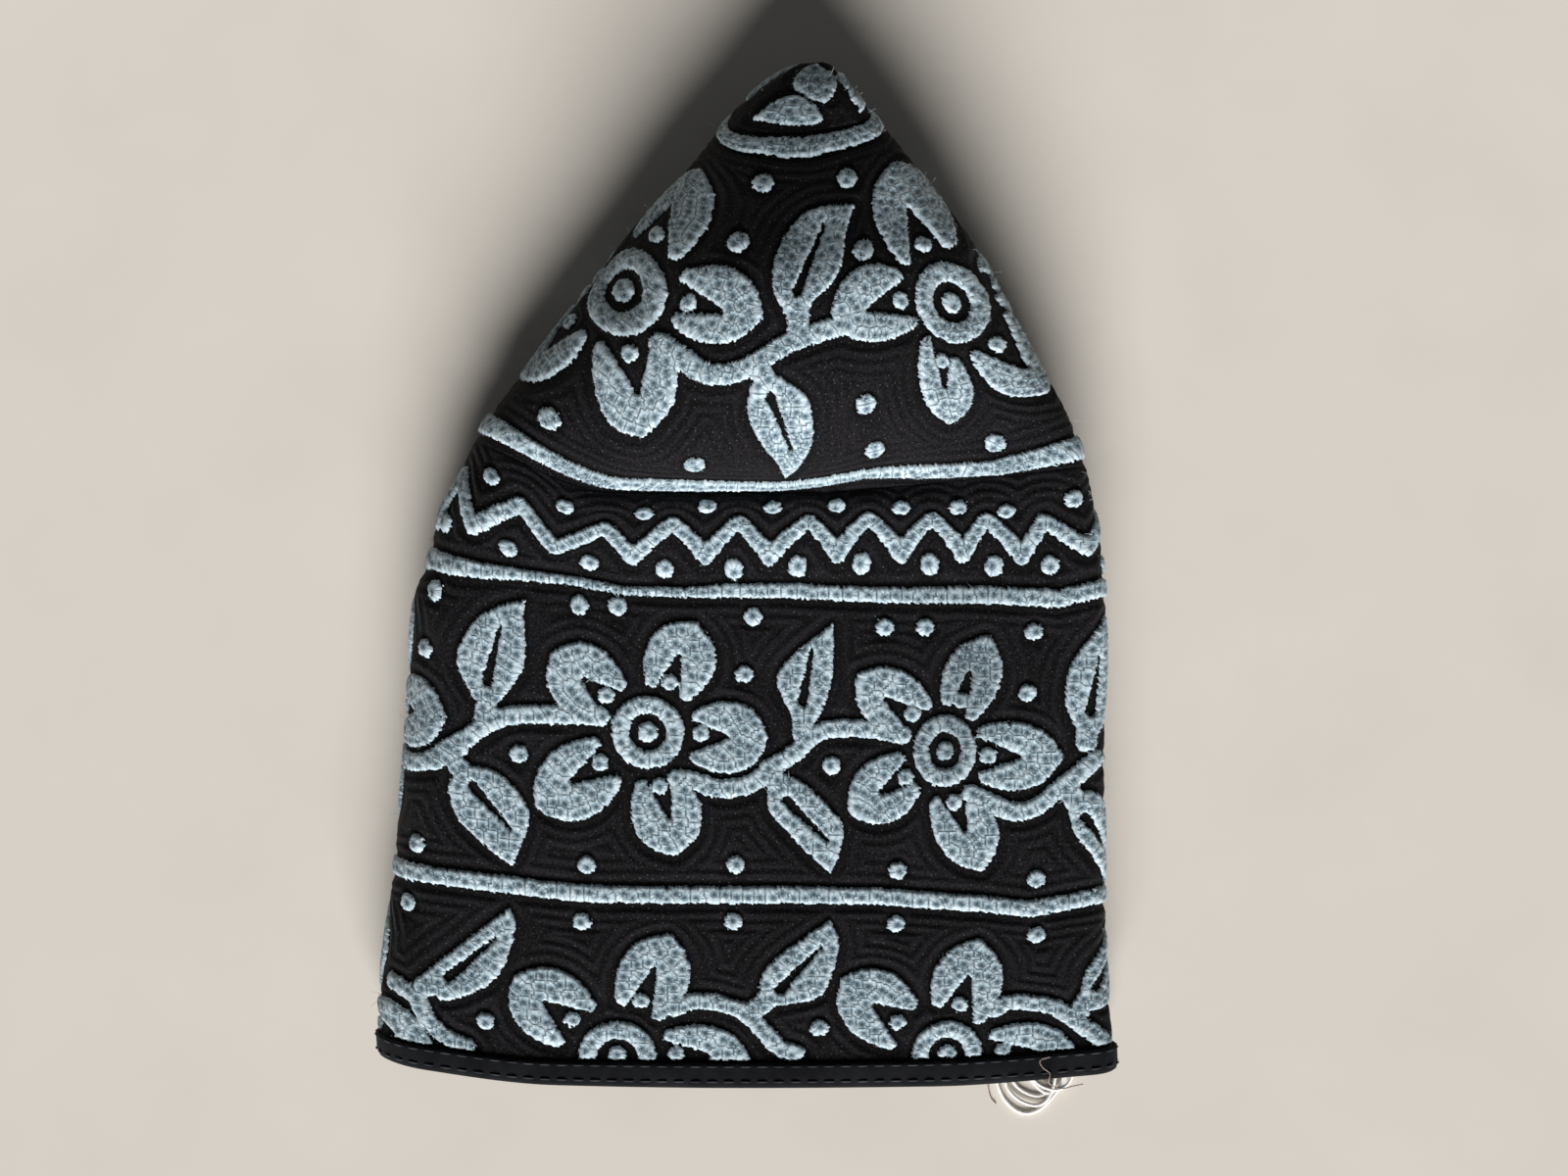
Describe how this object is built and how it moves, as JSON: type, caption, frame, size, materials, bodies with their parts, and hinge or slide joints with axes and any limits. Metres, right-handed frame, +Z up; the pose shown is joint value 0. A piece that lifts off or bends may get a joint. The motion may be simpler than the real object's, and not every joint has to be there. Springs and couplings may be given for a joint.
{
  "type": "kumma cap",
  "caption": "Round embroidered cotton cap with a flat round crown, a tall side band and a bound hem, folded flat in four and lying on its side.",
  "frame": {"origin": "centre of the folded cap's footprint, on the surface that it lies on", "axes": "+Z up out of the surface, +Y from the hem toward the centre of the crown, +X toward the two pressed edges"},
  "size_m": [0.14, 0.1894, 0.0439],
  "materials": {
    "black_cotton": "quilted black cotton twill",
    "black_binding": "plain black cotton binding",
    "grey_blue_thread": "dense satin and chain stitch embroidery"
  },
  "bodies": {
    "root": {"crown": "black_cotton", "side_band": "black_cotton", "hem_binding": "black_binding"}
  },
  "joints": []
}
